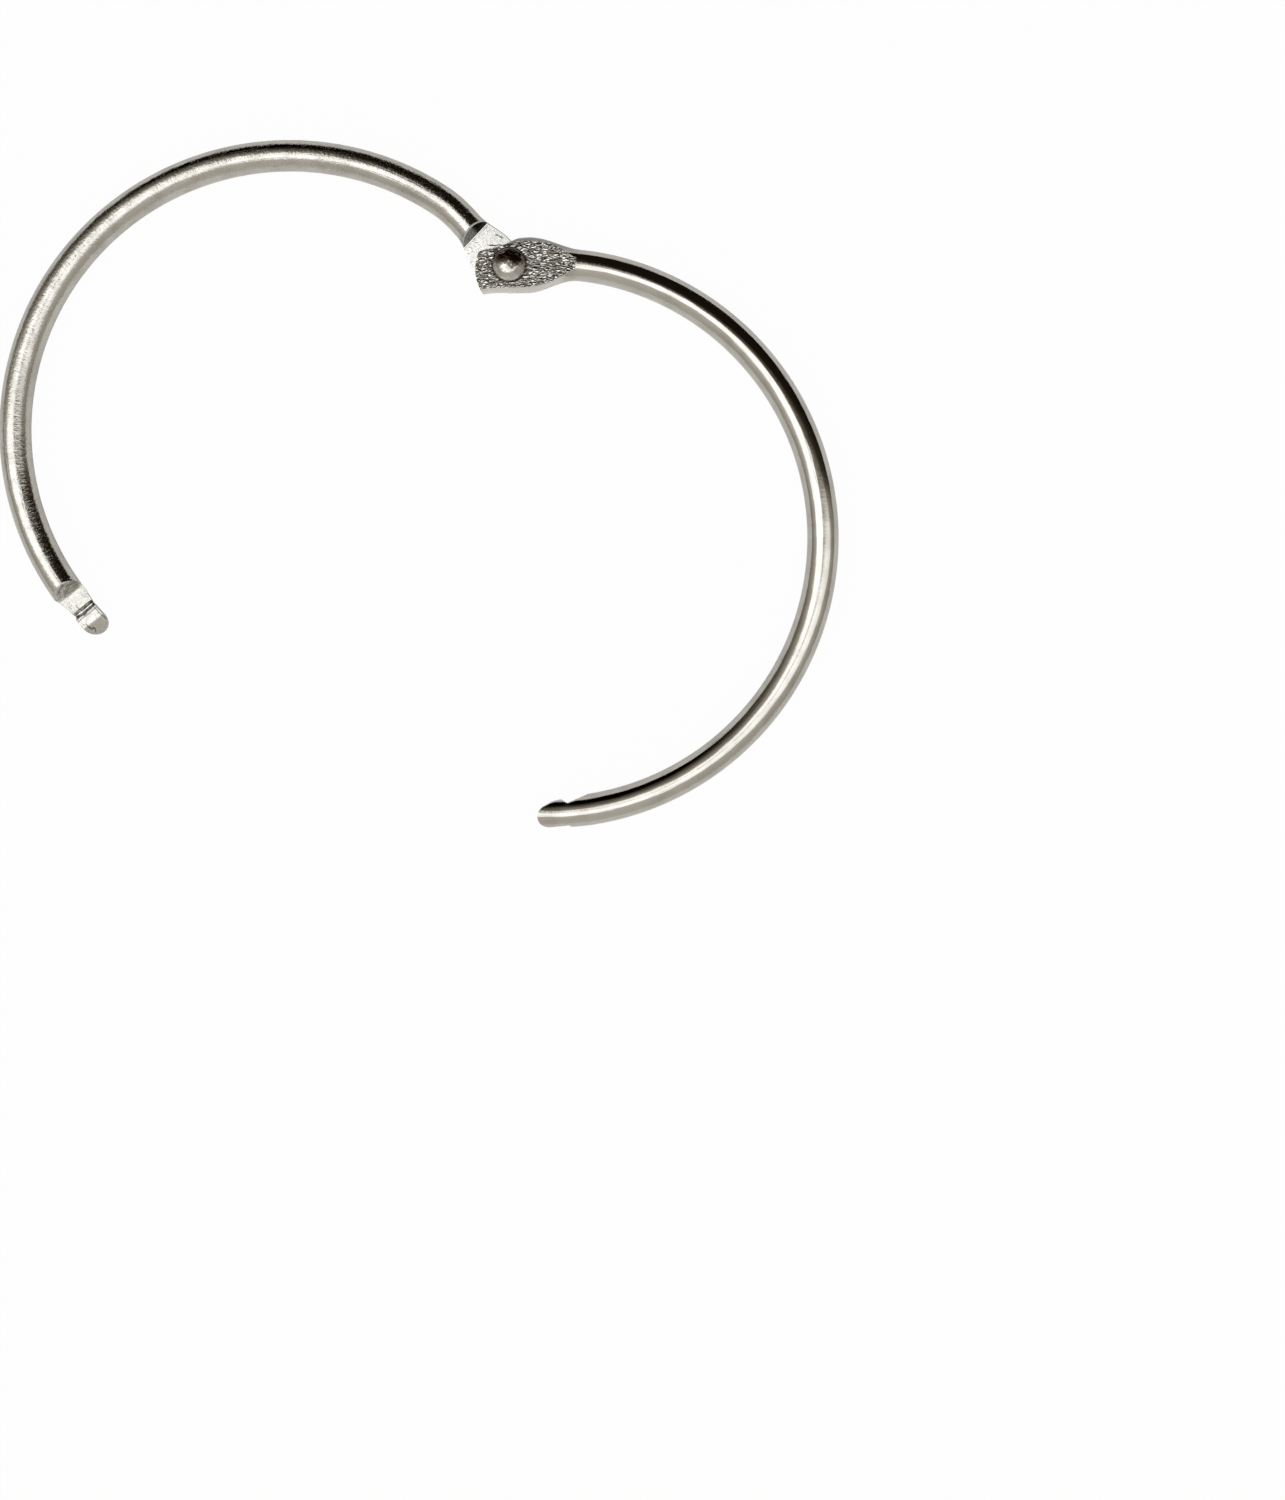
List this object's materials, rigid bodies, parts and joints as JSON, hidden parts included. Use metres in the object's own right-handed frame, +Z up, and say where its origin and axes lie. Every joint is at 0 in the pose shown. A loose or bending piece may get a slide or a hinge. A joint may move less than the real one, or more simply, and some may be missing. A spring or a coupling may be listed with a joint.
{
  "type": "binder ring",
  "caption": "Hinged loose-leaf binder ring: half rings of round wire with flattened, riveted lugs and half-lap tongues that meet to shut it.",
  "frame": {"origin": "centre of the footprint, on the ground, with the ring lying open as shown", "axes": "+Z up along the rivet; +Y from the gap between the tongues to the rivet; +X towards the half whose lug is on top"},
  "size_m": [0.1238, 0.0802, 0.0061],
  "materials": {
    "plated_wire": "nickel-plated steel wire, satin, with fine handling marks",
    "rivet": "nickel-plated, polished dome"
  },
  "bodies": {
    "lower_half": {"lower_half_ring": "plated_wire", "hinge_rivet": "rivet"},
    "upper_half": {"upper_half_ring": "plated_wire"}
  },
  "joints": [
    {"name": "rivet_hinge", "type": "hinge", "parent": "lower_half", "child": "upper_half", "pos_m": [0, 0.03231, 0.0045], "axis": [0, 0, 1], "range_deg": [-57, 65]}
  ]
}
